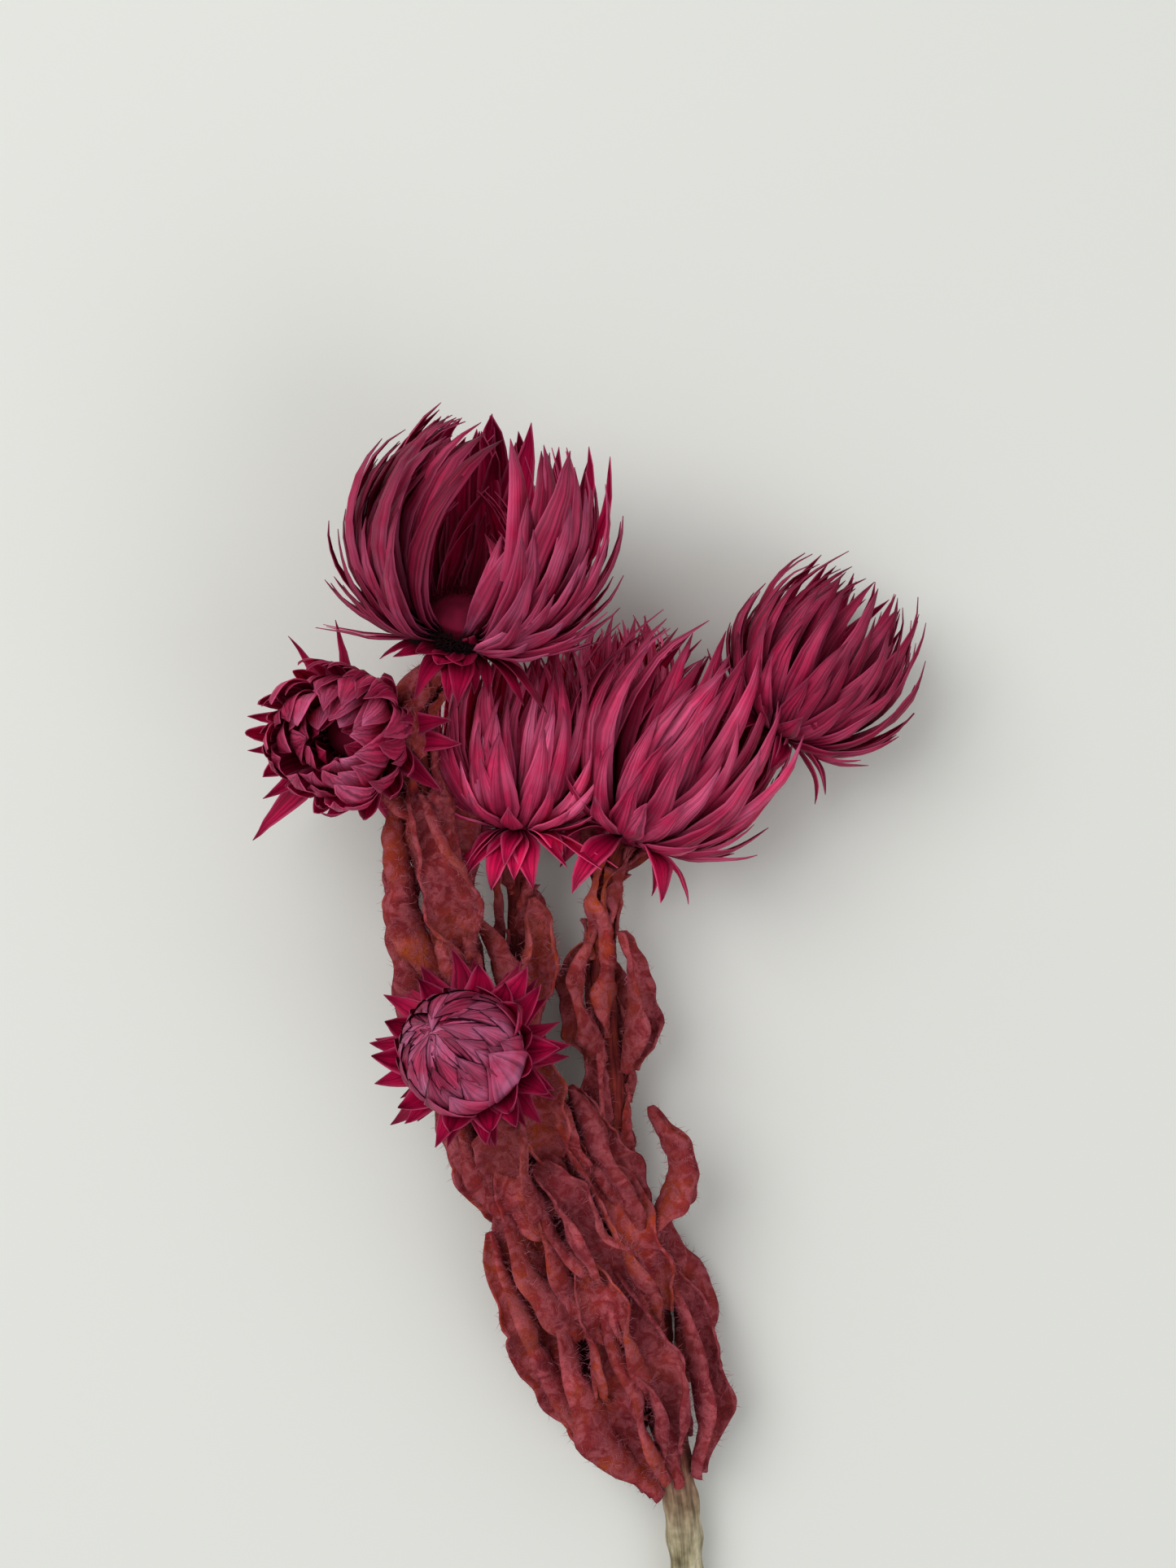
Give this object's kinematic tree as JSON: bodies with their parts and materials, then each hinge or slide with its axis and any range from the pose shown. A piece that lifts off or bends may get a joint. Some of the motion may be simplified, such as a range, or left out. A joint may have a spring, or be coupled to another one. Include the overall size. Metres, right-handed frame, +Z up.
{
  "type": "dried strawflower sprig",
  "caption": "Cut, dried strawflower sprig with papery magenta heads and woolly leaves, lying down.",
  "frame": {"origin": "on the surface that the sprig lies on, under the middle of its box", "axes": "+Y from the cut end towards the flower heads, +X to the right of the sprig seen from above, +Z up"},
  "size_m": [0.11, 0.2308, 0.0585],
  "materials": {
    "bark": "dry, faintly ribbed, with tufts of wool",
    "felted_leaf": "woolly and matt",
    "papery_bract": "dry, thin and satiny",
    "florets": "velvety and matt"
  },
  "bodies": {
    "root": {"back_head_disc": "florets", "back_head_outer_bracts": "papery_bract", "back_stalk": "bark", "branch_leaf_1": "felted_leaf", "branch_leaf_2": "felted_leaf", "branch_leaf_3": "felted_leaf", "branch_leaf_4": "felted_leaf", "branch_leaf_5": "felted_leaf", "crown_head_disc": "florets", "crown_head_inner_bracts": "papery_bract", "crown_head_middle_bracts": "papery_bract", "crown_head_outer_bracts": "papery_bract", "far_head_disc": "florets", "far_head_inner_bracts": "papery_bract", "far_head_outer_bracts": "papery_bract", "far_stalk": "bark", "left_bud_disc": "florets", "left_bud_inner_bracts": "papery_bract", "left_bud_outer_bracts": "papery_bract", "left_bud_stalk": "bark", "low_bud_disc": "florets", "low_bud_inner_bracts": "papery_bract", "low_bud_outer_bracts": "papery_bract", "low_bud_stalk": "bark", "lower_leaf_1": "felted_leaf", "lower_leaf_2": "felted_leaf", "lower_leaf_3": "felted_leaf", "lower_leaf_4": "felted_leaf", "lower_leaf_5": "felted_leaf", "lower_leaf_6": "felted_leaf", "lower_leaf_7": "felted_leaf", "main_stem": "bark", "middle_head_disc": "florets", "middle_head_inner_bracts": "papery_bract", "middle_head_outer_bracts": "papery_bract", "middle_leaf_1": "felted_leaf", "middle_leaf_10": "felted_leaf", "middle_leaf_11": "felted_leaf", "middle_leaf_2": "felted_leaf", "middle_leaf_3": "felted_leaf", "middle_leaf_4": "felted_leaf", "middle_leaf_5": "felted_leaf", "middle_leaf_6": "felted_leaf", "middle_leaf_7": "felted_leaf", "middle_leaf_8": "felted_leaf", "middle_leaf_9": "felted_leaf", "middle_stalk": "bark", "right_branch": "bark", "right_head_disc": "florets", "right_head_inner_bracts": "papery_bract", "right_head_outer_bracts": "papery_bract", "stalk_leaf_1": "felted_leaf", "stalk_leaf_2": "felted_leaf", "upper_leaf_1": "felted_leaf", "upper_leaf_2": "felted_leaf", "upper_leaf_3": "felted_leaf", "upper_leaf_4": "felted_leaf"}
  },
  "joints": []
}
